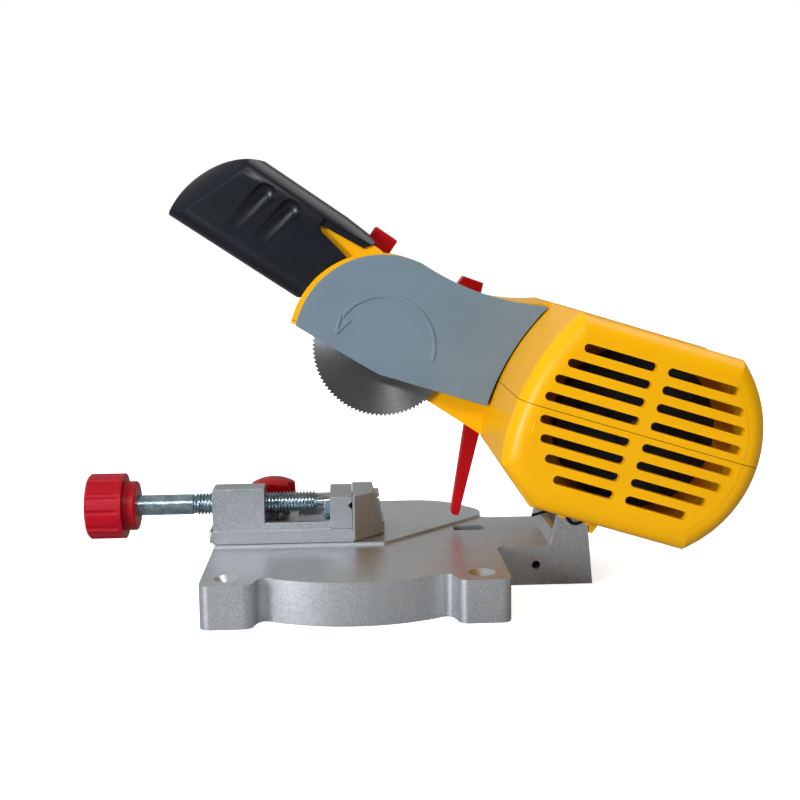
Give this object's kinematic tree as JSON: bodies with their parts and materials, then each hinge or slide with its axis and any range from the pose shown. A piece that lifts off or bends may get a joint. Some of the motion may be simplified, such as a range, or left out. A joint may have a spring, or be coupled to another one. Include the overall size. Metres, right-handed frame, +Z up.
{
  "type": "mini bench cut-off saw",
  "caption": "Small bench cut-off saw: round cast table with swivelling screw vise, and a spring-raised hinged motor head with guarded fine-tooth blade.",
  "frame": {"origin": "centre of the round table's arc, on the bench, at the foot of the central boss", "axes": "+X from the vise knob towards the motor, +Y from the operator's side to the back, +Z up"},
  "size_m": [0.2331, 0.1347, 0.1565],
  "materials": {
    "table_casting": "painted speckled silver, semi-gloss",
    "vise_casting": "painted speckled silver, semi-gloss",
    "yellow_shell": "gloss yellow-orange",
    "guard_grey": "fine-textured grey",
    "grip_black": "satin black",
    "red_plastic": "semi-gloss deep red",
    "knob_red": "semi-gloss red",
    "zinc": "zinc plated, slightly yellowed",
    "steel": "ground steel",
    "blade_steel": "brushed in rings",
    "black_steel": "blackened",
    "spring_steel": "blackened",
    "motor_black": "satin black",
    "magnet": "dull",
    "copper": "varnished",
    "brass_part": "turned",
    "belt_rubber": "matt black",
    "inner_plastic": "matt black",
    "carbon": "dull"
  },
  "bodies": {
    "base": {"base_casting": "table_casting", "pivot_shaft": "steel", "retaining_rings": "black_steel", "torsion_spring": "spring_steel", "swivel_screw": "zinc"},
    "vise": {"vise_body": "vise_casting", "lock_washer": "zinc", "lock_nut": "zinc"},
    "swivel_lock": {"lock_knob": "red_plastic", "lock_stud": "zinc"},
    "jaw": {"moving_jaw": "vise_casting", "jaw_retainer": "zinc"},
    "screw": {"vise_screw": "zinc", "vise_knob": "knob_red"},
    "head": {"head_shell_lower": "yellow_shell", "head_shell_upper": "yellow_shell", "handle_grip": "grip_black", "blade_guard": "guard_grey", "stop_leg": "red_plastic", "switch_body": "inner_plastic", "shell_screws": "zinc", "cord_inlet": "belt_rubber", "spindle_bearings": "steel", "motor_can": "motor_black", "motor_end_cap": "inner_plastic", "motor_bushes": "brass_part", "motor_magnets": "magnet", "motor_brushes": "carbon", "drive_belt": "belt_rubber", "spindle_lock_spring": "spring_steel"},
    "rotor": {"armature": "copper", "motor_shaft": "steel", "motor_pulley": "brass_part"},
    "blade": {"saw_blade": "blade_steel", "spindle": "steel", "inner_flange": "steel", "outer_flange": "zinc", "arbor_screw": "zinc", "blade_pulley": "inner_plastic"},
    "switch": {"switch_button": "red_plastic"},
    "spindle_lock": {"spindle_lock_button": "red_plastic"}
  },
  "joints": [
    {"name": "head_lowers", "type": "hinge", "parent": "base", "child": "head", "pos_m": [0.0809, 0, 0.0262], "axis": [0, -1, 0], "range_deg": [0, 29.5], "stiffness_Nm_per_rad": 0.6, "springref_deg": -17.19, "deforming": ["torsion_spring"]},
    {"name": "vise_swivel", "type": "hinge", "parent": "base", "child": "vise", "pos_m": [-0.0048, 0, 0.0161], "axis": [0, 0, -1], "range_deg": [0, 45]},
    {"name": "swivel_lock_turn", "type": "hinge", "parent": "vise", "child": "swivel_lock", "pos_m": [-0.031, 0.014, 0.03], "axis": [0, 0, 1], "range_deg": [0, 180]},
    {"name": "jaw_slide", "type": "slide", "parent": "vise", "child": "jaw", "axis": [-1, 0, 0], "range_m": [0, 0.0135]},
    {"name": "screw_turn", "type": "hinge", "parent": "jaw", "child": "screw", "pos_m": [-0.06, 0, 0.0292], "axis": [-1, 0, 0], "range_deg": [0, 3888]},
    {"name": "motor_spin", "type": "hinge", "parent": "head", "child": "rotor", "pos_m": [0.09398, 0, 0.06361], "axis": [0, -1, 0], "continuous": true},
    {"name": "blade_spin", "type": "hinge", "parent": "head", "child": "blade", "pos_m": [0.0113, 0, 0.08904], "axis": [0, -1, 0], "continuous": true},
    {"name": "switch_press", "type": "slide", "parent": "head", "child": "switch", "axis": [-0.5693, 0, -0.8221], "range_m": [0, 0.0008], "stiffness_N_per_m": 600, "springref_m": -0.0008},
    {"name": "spindle_lock_press", "type": "slide", "parent": "head", "child": "spindle_lock", "axis": [-0.294, 0, -0.9558], "range_m": [0, 0.0015], "stiffness_N_per_m": 300, "springref_m": -0.001, "deforming": ["spindle_lock_spring"]}
  ],
  "couplings": [
    {"joint": "screw_turn", "follows": "jaw_slide", "rad_per_m": 5026.5},
    {"joint": "blade_spin", "follows": "motor_spin", "ratio": 0.79737}
  ]
}
